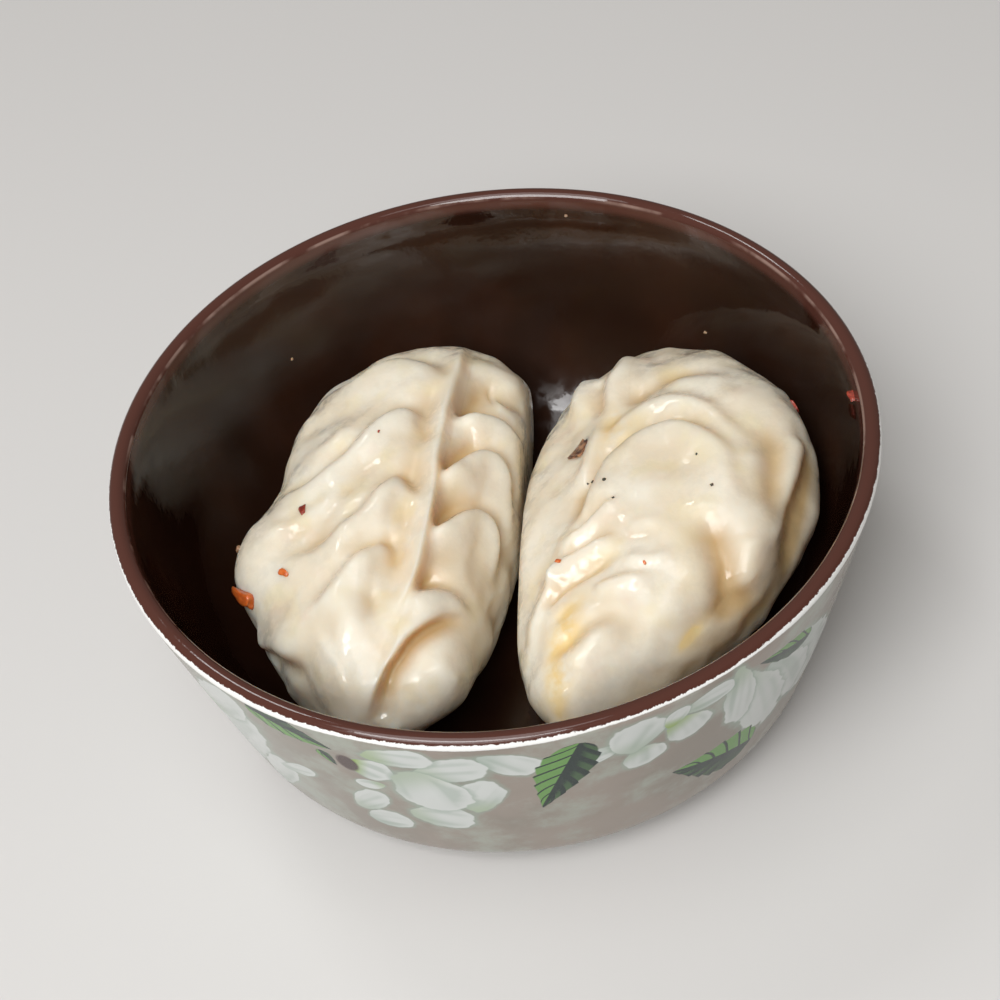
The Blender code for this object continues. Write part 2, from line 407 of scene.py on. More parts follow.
def make_brown():
    material, tree, shader = new_material("brown_melamine")
    place = millimetres(tree)
    x, y, z = split(tree, place)
    radius = calc(tree, "SQRT", square_sum(tree, x, y))
    clouds = grain(tree, place, 18, 3)
    colour = blend(tree, ramp(tree, clouds, 0.35, 0.7), BROWN_DEEP, BROWN)
    # the lip is painted a lighter brown: painted light on the rim
    lit_lip = ramp(tree, z, BOWL_HEIGHT / MM - 3.0, BOWL_HEIGHT / MM - 1.6)
    colour = blend(tree, lit_lip, colour, LIT_LIP_BROWN)
    # a thin broken paler line along the inner edge of the rim: a painted highlight
    highlight_radius = (RIM_RADIUS - WALL) / MM + HIGHLIGHT_INSET
    line = calc(tree, "ABSOLUTE", calc(tree, "SUBTRACT", radius, highlight_radius))
    line = ramp(tree, line, 0.2, 0.05)
    high = ramp(tree, z, BOWL_HEIGHT / MM - 1.9, BOWL_HEIGHT / MM - 1.2)
    broken = ramp(tree, grain(tree, place, 7, 4), 0.42, 0.62)
    colour = blend(tree, times(tree, line, high, broken), colour, INNER_EDGE_HIGHLIGHT)
    wire(tree, colour, shader.inputs["Base Color"])
    haze = grain(tree, place, 2.5, 4, 0.6)
    greasy = times(tree, ramp(tree, z, *GREASE_HEIGHT), ramp(tree, haze, 0.5, 0.6))
    dull = calc(tree, "MULTIPLY_ADD", haze, 0.06, 0.04)
    dull = calc(tree, "MULTIPLY_ADD", greasy, 0.06, dull)
    wire(tree, dull, shader.inputs["Roughness"])
    shader.inputs["IOR"].default_value = 1.52
    fine = times(tree, grain(tree, place, 1.6, 2), 0.1)
    add_bump(tree, shader, calc(tree, "ADD", grain(tree, place, 9, 1), fine), MOULD_RIPPLE)
    return material


brown = make_brown()
print("brown melamine")

# %% [markdown]
# ## Petals and leaves
#
# The outside is covered by a printed sheet of white blossom, a traditional motif for such ware.
# A ready-made picture of a print would fit this one bowl only, so each petal and leaf is a shape
# that the shader works out: an oval or a leaf blade, placed on the unrolled wall by its middle,
# turn, length and width in millimetres. One node group draws a petal over what is already there
# and one draws a leaf, and both are used again and again, as a stencil is.

# %% The petal stencil
PETAL_WHITE = (0.64, 0.67, 0.655)
PETAL_SHADE = (0.32, 0.40, 0.34)
PETAL_GREEN = (0.30, 0.42, 0.12)


def new_stencil(name, extra):
    """A node group that draws one motif over a ground; extra names its seventh setting."""
    inputs = {
        "Ground": "Color", "Place": "Vector", "Middle": "Vector", "Turn": "Float",
        "Length": "Float", "Width": "Float", extra: "Float",
    }
    return new_group(name, inputs, {"Colour": "Color"})


def stamp(tree, stencil, ground, place, row):
    """Draws the motif that a row of numbers describes, and gives the new colour."""
    x, y, turn, *rest = row
    return use_group(tree, stencil, ground, place, (x, y, 0.0), math.radians(turn), *rest)[0]


def to_motif(tree, entry):
    """The place on the unrolled wall, seen from the middle of the motif and turned with it."""
    away = tree.nodes.new("ShaderNodeVectorMath")
    away.operation = "SUBTRACT"
    tree.links.new(entry["Place"], away.inputs[0])
    tree.links.new(entry["Middle"], away.inputs[1])
    turned = tree.nodes.new("ShaderNodeVectorRotate")
    turned.rotation_type = "Z_AXIS"
    tree.links.new(away.outputs[0], turned.inputs["Vector"])
    tree.links.new(times(tree, entry["Turn"], -1.0), turned.inputs["Angle"])
    along, across, _ = split(tree, turned.outputs[0])
    return along, across


def make_petal_group():
    tree, entry, leave = new_stencil("petal", "Green")
    along, across = to_motif(tree, entry)
    # a and b run from -1 to 1 along and across; the petal is wider towards its tip
    a = calc(tree, "DIVIDE", times(tree, along, 2.0), entry["Length"])
    b = calc(tree, "DIVIDE", times(tree, across, 2.0), entry["Width"])
    egg = calc(tree, "DIVIDE", b, calc(tree, "MULTIPLY_ADD", calc(tree, "MAXIMUM", a, -1.0), 0.24, 0.95))
    point = calc(tree, "POWER", calc(tree, "ABSOLUTE", a), 1.9)
    # reach is 0 in the middle and 1 on the outline, which noise makes uneven
    reach = calc(tree, "SQRT", calc(tree, "ADD", point, times(tree, egg, egg)))
    wobble = calc(tree, "MULTIPLY_ADD", grain(tree, entry["Place"], 3.4, 2), 0.44, -0.22)
    reach = calc(tree, "ADD", reach, wobble)
    halo = times(tree, ramp(tree, reach, 1.22, 0.98), 0.6)
    ground = blend(tree, halo, entry["Ground"], PETAL_SHADE)
    # flutes are streaks that run from the base towards the tip
    flutes = tree.nodes.new("ShaderNodeTexNoise")
    flutes.noise_dimensions = "1D"
    flutes.inputs["Scale"].default_value = 1.1
    flutes.inputs["Detail"].default_value = 1.0
    streak = calc(tree, "MULTIPLY_ADD", a, 0.3, calc(tree, "ADD", egg, entry["Length"]))
    wire(tree, streak, flutes.inputs["W"])
    inner = ramp(tree, flutes.outputs[0], 0.42, 0.68)
    flutes = times(tree, inner, ramp(tree, reach, 0.95, 0.6), 0.5)
    petal = blend(tree, flutes, PETAL_WHITE, PETAL_SHADE)
    base = times(tree, ramp(tree, calc(tree, "MULTIPLY_ADD", b, 0.4, a), 0.2, -1.0), 0.6)
    petal = blend(tree, base, petal, PETAL_SHADE)
    tint = times(tree, ramp(tree, a, 0.1, -0.9), entry["Green"])
    petal = blend(tree, tint, petal, PETAL_GREEN)
    drawn = blend(tree, ramp(tree, reach, 1.02, 0.96), ground, petal)
    tree.links.new(drawn, leave["Colour"])
    return tree


petal_group = make_petal_group()
print("petal stencil of", len(petal_group.nodes), "nodes")

# %% The leaf stencil
LEAF_LIGHT = (0.145, 0.315, 0.085)
LEAF_MID = (0.065, 0.135, 0.055)
LEAF_DARK = (0.013, 0.029, 0.026)


def make_leaf_group():
    tree, entry, leave = new_stencil("leaf", "Veins")
    along, across = to_motif(tree, entry)
    # the blade swells like a sine that is fullest nearer to the stalk
    share = calc(tree, "ADD", calc(tree, "DIVIDE", along, entry["Length"]), 0.5, clamp=True)
    swell = calc(tree, "SINE", times(tree, calc(tree, "POWER", share, 0.62), math.pi))
    half = times(tree, swell, entry["Width"], 0.5)
    out = calc(tree, "ABSOLUTE", across)
    ratio = calc(tree, "DIVIDE", out, calc(tree, "MAXIMUM", half, 0.05))
    # saw runs from 0 to 1 between two veins, which slant forwards; it also notches the edge
    steps = times(tree, share, entry["Veins"])
    saw = calc(tree, "FRACT", calc(tree, "SUBTRACT", steps, times(tree, ratio, 1.3)))
    edge = times(tree, half, calc(tree, "MULTIPLY_ADD", saw, -0.13, 1.0))
    inside = ramp(tree, calc(tree, "SUBTRACT", out, edge), 0.12, -0.12)
    ends = calc(tree, "SUBTRACT", calc(tree, "ABSOLUTE", along), times(tree, entry["Length"], 0.5))
    inside = times(tree, inside, ramp(tree, ends, 0.0, -0.3))
    # one half is light with dark veins, the other dark with lighter patches
    vein = times(tree, ramp(tree, saw, 0.26, 0.16), ramp(tree, saw, 0.0, 0.05))
    light = blend(tree, vein, LEAF_LIGHT, LEAF_DARK)
    patch = times(tree, ramp(tree, saw, 0.35, 0.6), ramp(tree, ratio, 0.15, 0.6), 0.75)
    dark = blend(tree, patch, LEAF_DARK, LEAF_MID)
    blade = blend(tree, ramp(tree, across, 0.15, -0.15), dark, light)
    rib = ramp(tree, out, 0.34, 0.16)
    blade = blend(tree, rib, blade, LEAF_DARK)
    drawn = blend(tree, inside, entry["Ground"], blade)
    tree.links.new(drawn, leave["Colour"])
    return tree


leaf_group = make_leaf_group()
print("leaf stencil of", len(leaf_group.nodes), "nodes")

# %% [markdown]
# ## The printed sheet
#
# The wall is unrolled by turning the angle round the bowl into a length. The sheet is a third of
# the way round long and repeats, as a printer would cut it. Its ground is a warm stone grey
# with pale green clouds. The motifs are drawn in order, so later ones lie over earlier ones, and a
# chipped white line under the brown lip is where the sheet ends.

# %% The printed sheet
SHEET_RADIUS = 52.0
SHEET_LENGTH = 2 * math.pi * SHEET_RADIUS / 3
STONE = (0.282, 0.248, 0.212)
STONE_WARM = (0.330, 0.284, 0.246)
CLOUD = (0.39, 0.42, 0.365)
PLAIN_WHITE = (0.84, 0.84, 0.82)
BUD = (0.075, 0.045, 0.042)
BUD_MIDDLE = (-25.4, 36.6)
BUD_HALF = (1.5, 2.5)
LINE_DEPTH = 1.05  # the white line ends this far below the brown lip, in millimetres
LINE_NARROWING = 0.55  # and is up to this much narrower on parts of the way round
FOOT_WHITE = (3.4, 2.8)  # printed above the first height and plain white below the second
PRINT_RELIEF = 0.12
# middle along and up the sheet, turn in degrees, length, width, share of green at the base
PETALS = [
    (-50, 24, 62, 34, 13, 0.0), (-44, 17, 60, 20, 6, 0.0), (-47, 36, 50, 20, 8, 0.2),
    (-37, 25, 35, 9, 3.2, 0.0), (44, 27, -60, 26, 12, 0.0), (38, 29, -58, 22, 9, 0.0),
    (32, 30, -66, 26, 9, 0.1), (27.5, 36, -82, 18, 5.5, 0.2), (22.3, 41.3, 8, 7.5, 5, 0.1),
    (-4, 40, -40, 9, 6, 0.0), (19.2, 36.2, -58, 8, 6.4, 0.7), (7.2, 37.8, 200, 6, 4.2, 0.1),
    (13.2, 33, -70, 6, 6.4, 0.2), (12, 39.6, 82, 9, 8, 0.1), (17.4, 40.6, 70, 5, 3.4, 0.9),
    (-24.3, 17.2, 28, 7.6, 6.4, 0.0), (-25.6, 23.4, 56, 10.5, 5.0, 0.1), (-23.6, 30.4, 200, 4.6, 3, 0.4),
    (-15.4, 21.8, 5, 9.4, 8.4, 0.2), (-8.8, 29.6, 76, 11.4, 6.4, 0.3), (-11.6, 38.4, 22, 10, 7.4, 0.2),
    (-18, 41.4, 6, 9.4, 5.8, 0.5), (-22.6, 36.0, -16, 6.5, 7, 1.3), (-15.4, 31.2, -68, 13.4, 10.2, 0.2),
]
# middle along and up the sheet, turn in degrees, length, width, number of veins
LEAVES = [
    (-32.4, 42.2, -20, 12.5, 6.5, 5.0), (-28.2, 36.6, -70, 4.6, 2.2, 2.0),
    (26.0, 18.6, 154, 18.0, 10.5, 6.0), (36.0, 38.0, 150, 14.0, 4.6, 4.0),
    (2.0, 33.6, 253, 20.0, 8.4, 7.0),
]


def make_print():
    material, tree, shader = new_material("printed_melamine")
    place = millimetres(tree)
    x, y, z = split(tree, place)
    angle = calc(tree, "ARCTAN2", x, times(tree, y, -1.0))
    around = times(tree, angle, SHEET_RADIUS)
    around = calc(tree, "WRAP", around, SHEET_LENGTH / 2, -SHEET_LENGTH / 2)
    sheet = join(tree, around, z, 0.0)
    colour = blend(tree, ramp(tree, grain(tree, place, 16, 3), 0.38, 0.62), STONE, STONE_WARM)
    clouds = times(tree, ramp(tree, grain(tree, place, 11, 5, 0.6), 0.45, 0.7), 0.85)
    colour = blend(tree, clouds, colour, CLOUD)
    # the ground is paler towards one end of the sheet
    colour = blend(tree, times(tree, ramp(tree, around, -26.0, -44.0), 0.3), colour, CLOUD)
    for row in PETALS:
        colour = stamp(tree, petal_group, colour, sheet, row)
    bud_x = calc(tree, "DIVIDE", calc(tree, "ADD", around, -BUD_MIDDLE[0]), BUD_HALF[0])
    bud_y = calc(tree, "DIVIDE", calc(tree, "SUBTRACT", z, BUD_MIDDLE[1]), BUD_HALF[1])
    colour = blend(tree, ramp(tree, square_sum(tree, bud_x, bud_y), 1.3, 0.6), colour, BUD)
    for row in LEAVES:
        colour = stamp(tree, leaf_group, colour, sheet, row)
    # the chipped white line, the plain white foot, and the brown lip with its uneven edge,
    # painted in the lighter brown that stands for light on the rim
    band = BAND_TOP / MM
    ragged = calc(tree, "MULTIPLY_ADD", grain(tree, place, 0.7, 3, 0.7), 0.7, -0.35)
    height = calc(tree, "ADD", z, ragged)
    narrow = ramp(tree, grain(tree, place, 40, 1), 0.4, 0.6)
    bottom = calc(tree, "MULTIPLY_ADD", narrow, LINE_NARROWING, band - LINE_DEPTH)
    wavy = calc(tree, "SUBTRACT", calc(tree, "MULTIPLY_ADD", ragged, 0.35, z), bottom)
    white = ramp(tree, wavy, 0.0, 0.2)
    colour = blend(tree, white, colour, PLAIN_WHITE)
    colour = blend(tree, ramp(tree, z, *FOOT_WHITE), colour, PLAIN_WHITE)
    lit_lip = ramp(tree, height, band - 0.06, band + 0.06)
    colour = blend(tree, lit_lip, colour, LIT_LIP_BROWN)
    wire(tree, colour, shader.inputs["Base Color"])
    dull = calc(tree, "MULTIPLY_ADD", grain(tree, place, 3, 3), 0.16, 0.13)
    wire(tree, dull, shader.inputs["Roughness"])
    shader.inputs["IOR"].default_value = 1.28  # mirrors less than the brown, so the print is clear
    relief = calc(tree, "ADD", grain(tree, place, 9, 1), times(tree, white, 0.5))
    add_bump(tree, shader, relief, PRINT_RELIEF)
    return material


printed = make_print()
print("printed sheet of", len(PETALS), "petals and", len(LEAVES), "leaves")

# %% [markdown]
# ## Spinning the bowl
#
# The outline is turned once round the axis in small steps, the way a mould is turned on a lathe.
# Each face then gets one of the two materials: brown for the hollow and the lip, the print for
# the wall outside, up to just above the lower edge of the lip. The print's own material draws
# that edge, so it stays crisp and a little uneven instead of following the faces.

# %% Spin the bowl
SPIN_STEPS = 256
MERGE_DISTANCE = 0.01 * MM
FACES_DOWN = -0.2  # faces whose normal points down more than this are the underside
PRINT_MARGIN = 0.35 * MM  # the print's material reaches this far above the edge of the lip


def finish_piece(name, shape, materials, replaced=None):
    """Makes a named piece of the object from a finished bmesh."""
    mesh = bpy.data.meshes.new(name)
    shape.to_mesh(mesh)
    shape.free()
    mesh.shade_smooth()
    for material in materials:
        mesh.materials.append(material)
    piece = bpy.data.objects.new(name, mesh)
    bpy.context.scene.collection.objects.link(piece)
    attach(piece, "root")
    if replaced:
        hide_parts(replaced)
    print(name, "has", sum(len(face.vertices) - 2 for face in mesh.polygons), "triangles")
    return piece


def make_bowl():
    shape = bmesh.new()
    corners = [shape.verts.new((radius, 0, z)) for radius, z in outline]
    for first, second in zip(corners, corners[1:]):
        shape.edges.new((first, second))
    bmesh.ops.spin(
        shape, geom=shape.verts[:] + shape.edges[:], cent=(0, 0, 0), axis=(0, 0, 1), dvec=(0, 0, 0),
        angle=2 * math.pi, steps=SPIN_STEPS, use_merge=True, use_duplicate=False,
    )
    bmesh.ops.remove_doubles(shape, verts=shape.verts, dist=MERGE_DISTANCE)
    bmesh.ops.recalc_face_normals(shape, faces=shape.faces)
    for face in shape.faces:
        middle = face.calc_center_median()
        outside = middle.xy.length > RIM_RADIUS - WALL / 2 or face.normal.z < FACES_DOWN
        outside = outside or (middle.z < BAND_TOP and face.normal.xy.dot(middle.xy) > 0)
        face.material_index = 1 if outside and middle.z < BAND_TOP + PRINT_MARGIN else 0
    finish_piece("bowl_ware", shape, [brown, printed], "bowl")


make_bowl()

# %% [markdown]
# ## The body of a dumpling
#
# A dumpling starts as a sphere with its poles at the two tips. Every vertex keeps two numbers: s,
# how far along it is from the near tip (-1) to the far tip (1), and t, how many degrees round it is
# from the seam on top (0), positive down the right side. A formula turns s and t into a plain
# oval of dough, and all the folds are then drawn on it in those same two numbers. The other way
# would be to sculpt by hand, but a formula can be read, repeated and changed.

# %% The body of a dumpling
MERIDIANS = 298
RINGS = 300
CROWDING = 0.3  # draws the meridians towards the seam, where the pleats are
SQUARENESS = 0.75  # under 1 makes the lower half of the body fuller than an oval
DEGREE = 0.38  # the usual way round the skin for one degree of t, in millimetres
# the length, the widths to both sides of the middle, the heights of the seam, the belly and the
# tips, how far the seam lies to the right and the whole body bows to the right, four powers that
# blunt the ends and the fall of the seam, how much wider the far half is, and the place, heading
# and roll in the bowl
LEFT = {
    "length": 80 * MM, "right": 19 * MM, "left": 22.5 * MM, "height": 29 * MM,
    "belly": 14 * MM, "tip": 10.5 * MM, "crest": 5.3 * MM, "bow": -2 * MM,
    "blunt": 2.85, "round": 0.65, "arch": 3.6, "fall": 0.6, "taper": 0.03,
    "place": (-13.5 * MM, 7 * MM), "heading": 17.5, "roll": 9.0, "side": -1,
}
RIGHT = {
    "length": 77 * MM, "right": 25 * MM, "left": 25 * MM, "height": 28.5 * MM,
    "belly": 16 * MM, "tip": 14.5 * MM, "crest": -1.3 * MM, "bow": 6.7 * MM,
    "blunt": 2.0, "round": 0.66, "arch": 3.0, "fall": 0.55, "taper": 0.15,
    "place": (17.5 * MM, -1.7 * MM), "heading": 20.0, "roll": -25.0, "side": 1,
}


def body_points(momo, s, t):
    """Places on the plain body, upright, for arrays of s and t."""
    end = np.clip(1 - np.abs(s) ** momo["blunt"], 0, 1) ** momo["round"]
    rise = np.clip(1 - np.abs(s) ** momo["arch"], 0, 1) ** momo["fall"]
    side = np.where(t >= 0, 1.0, -1.0)
    half = np.where(t >= 0, momo["right"], momo["left"]) * end * (1 + momo["taper"] * s) * side
    top = momo["tip"] + (momo["height"] - momo["tip"]) * rise
    belly = momo["tip"] + (momo["belly"] - momo["tip"]) * end
    bottom = momo["tip"] * (1 - end)
    crest = momo["crest"] * end
    angle = np.radians(np.abs(t))
    upper = angle < math.pi / 2
    sine = np.clip(np.sin(angle), 0, 1)
    cosine = np.cos(angle)
    x = np.where(upper, crest + (half - crest) * sine, half * sine**SQUARENESS)
    lower = np.clip(-cosine, 0, 1) ** SQUARENESS
    z = np.where(upper, belly + (top - belly) * cosine, belly - (belly - bottom) * lower)
    return np.stack([x + momo["bow"] * (1 - s * s), momo["length"] / 2 * s, z], axis=-1)


def start_body(momo):
    """A grid that is rolled up into a ball, and the s and t of its vertices."""
    shape = bmesh.new()
    bmesh.ops.create_grid(shape, x_segments=MERIDIANS, y_segments=RINGS, size=1.0)
    for vertex in shape.verts:
        round_angle = vertex.co.x * math.pi
        end_angle = vertex.co.y * math.pi / 2
        width = math.cos(end_angle)
        vertex.co = (width * math.sin(round_angle), width * math.cos(round_angle), math.sin(end_angle))
    bmesh.ops.remove_doubles(shape, verts=shape.verts, dist=1e-5)
    shape.verts.index_update()
    places = np.array([vertex.co[:] for vertex in shape.verts])
    s = np.clip(places[:, 2], -1, 1)
    turn = np.arctan2(places[:, 0], places[:, 1]) / math.pi
    t = 180 * turn * np.abs(turn) ** CROWDING
    return shape, s, t


def write_points(shape, points):
    for vertex, point in zip(shape.verts, points):
        vertex.co = point


def read_normals(shape):
    shape.normal_update()
    return np.array([vertex.normal[:] for vertex in shape.verts])


print("body formula ready:", MERIDIANS, "by", RINGS)

# %% [markdown]
# ## Drawing folds
#
# A fold is a stroke along a smooth trail. Its cross-section is a ridge whose two sides have their
# own widths, because a pinched lap of dough is steep where it tucks over its neighbour and gentle
# where it comes out of the body. `lean` pushes the crest sideways over the steep side, so the
# lap really overhangs and throws a shadow. A stroke with a negative rise presses a hollow.

# %% Trails over the body
TRAIL_STEPS = 8


def trail_points(momo, marks):
    """A smooth line over the plain body through marks of (s, t)."""
    marks = np.array(marks, dtype=float)
    padded = np.vstack([2 * marks[0] - marks[1], marks, 2 * marks[-1] - marks[-2]])
    line = []
    for i in range(1, len(padded) - 2):
        before, start, end, after = padded[i - 1:i + 3]
        for u in np.arange(TRAIL_STEPS) / TRAIL_STEPS:
            line.append(0.5 * (
                2 * start + (end - before) * u
                + (2 * before - 5 * start + 4 * end - after) * u * u
                + (3 * start - before - 3 * end + after) * u**3
            ))
    line.append(padded[-2])
    line = np.array(line)
    return body_points(momo, np.clip(line[:, 0], -1, 1), line[:, 1])


def measure_stroke(points, normals, line, widest):
    """For each vertex near a trail: distance, side (1 left, -1 right), share along, sideways."""
    reach = 2.5 * widest
    low = line.min(axis=0) - reach
    high = line.max(axis=0) + reach
    near = np.where(np.all((points > low) & (points < high), axis=1))[0]
    local = points[near]
    lengths = np.linalg.norm(np.diff(line, axis=0), axis=1)
    done = np.concatenate([[0], np.cumsum(lengths)])
    distance = np.full(len(near), np.inf)
    share = np.zeros(len(near))
    sideways = np.zeros((len(near), 3))
    side = np.zeros(len(near))
    for i, length in enumerate(lengths):
        along = (line[i + 1] - line[i]) / max(length, 1e-9)
        step = np.clip((local - line[i]) @ along, 0, length)
        offset = local - line[i] - step[:, None] * along
        away = np.linalg.norm(offset, axis=1)
        closer = away < distance
        left = np.cross(normals[near], along)
        distance = np.where(closer, away, distance)
        share = np.where(closer, (done[i] + step) / done[-1], share)
        side = np.where(closer, np.sign(np.einsum("ij,ij->i", offset, left)), side)
        sideways = np.where(closer[:, None], left, sideways)
    return near, distance, side, share, sideways


print("trails have", TRAIL_STEPS, "steps from mark to mark")

# %% The dough and its strokes
PROFILE = 1.8  # power of a ridge's cross-section: 2 would be a bell, less is more pinched
LUMPS = ((14.0, 0.8), (6.0, 0.55), (3.0, 0.24))  # size and depth of the unevenness, in millimetres


def ease(share):
    share = np.clip(share, 0, 1)
    return share * share * (3 - 2 * share)


class Dough:
    """The vertices of one dumpling while it is being sculpted."""

    def __init__(self, momo):
        self.momo = momo
        self.shape, self.s, self.t = start_body(momo)
        self.points = body_points(momo, self.s, self.t)
        write_points(self.shape, self.points)
        if self.shape.calc_volume(signed=True) < 0:
            bmesh.ops.reverse_faces(self.shape, faces=self.shape.faces)
        self.normals = read_normals(self.shape)
        # how far each vertex is lifted and pushed aside, and the two masks that colour it: painted shade
        # in tan, and stains
        self.rise = np.zeros(len(self.points))
        self.shift = np.zeros((len(self.points), 3))
        self.hollow = np.zeros(len(self.points))
        self.stain = np.zeros(len(self.points))

    def stroke(self, marks, rise, left, right, lean=0.0, start=0.15, end=0.35, trough=0.0, shade=0.0,
               over=False):
        """A ridge, or a hollow if rise is negative; sizes in millimetres, fades as shares.

        With over, the ridge keeps its height whatever lies below it. With trough, a hollow lies
        beside the left foot of the ridge; shade paints tan shade into the trough, or else into the
        stroke itself.
        """
        line = trail_points(self.momo, marks)
        widest = max(1.2 * left if trough else left, right) * MM
        near, distance, side, share, sideways = measure_stroke(self.points, self.normals, line, widest)
        width = np.where(side > 0, left, right) * MM
        fade = ease(share / max(start, 1e-6)) * ease((1 - share) / max(end, 1e-6))
        amount = np.exp(-((distance / width) ** PROFILE)) * fade
        foot = np.exp(-(((distance * side / MM - 1.5 * left) / (0.4 * left + 0.8)) ** 2)) * fade
        if over:
            self.rise[near] += (rise * MM - self.rise[near]) * amount
        else:
            self.rise[near] += (rise * amount - trough * foot) * MM
        self.shift[near] += (lean * MM * amount**2)[:, None] * sideways
        # painted shade: the trough, or else the stroke itself, is tanned as if shade fell in it
        dark = foot if trough else amount
        self.hollow[near] = np.maximum(self.hollow[near], shade * dark)

    def spot(self, kind, s, t, along, around, strength):
        """A soft patch in a mask, or a swelling; sizes in millimetres along and round the body.

        A swelling with a negative strength is a dent.
        """
        ds = (self.s - s) * self.momo["length"] / 2 / MM / along
        dt = (self.t - t) * DEGREE / around
        patch = strength * np.exp(-(ds * ds + dt * dt))
        if kind == "rise":
            self.rise += patch * MM
        else:
            setattr(self, kind, getattr(self, kind) + patch)

    def lumps(self, *seeds):
        """Soft unevenness of the whole skin, in three sizes."""
        for (size, depth), seed in zip(LUMPS, seeds):
            for i, point in enumerate(self.points):
                wave = noise.noise(Vector(point) / (size * MM) + Vector((seed, 0, 0)))
                self.rise[i] += depth * MM * wave

    def report(self, name):
        print(f"{name}: folds from {self.rise.min() / MM:.1f} to {self.rise.max() / MM:.1f} mm")


print("strokes ready")

# %% [markdown]
# ## The left dumpling
#
# It lies with its seam on top. The seam is a thin pinched flap from the far tip to the near one,
# where it curls under in a hook. To its right the pleats fall like overlapping petals, each with a
# deep hollow where it leaves the seam, tanned with painted shade, and the last one arches over the
# near end. On the left flank four broad laps rise to the seam and turn along it, with soft puffs
# and small creases between them that painted shade darkens. Every fold is one stroke, and their
# order matters, because a later fold lies on the earlier ones.

# %% The left dumpling
BODY_INSET = 0.3  # the folds stand on a body this much smaller, in millimetres


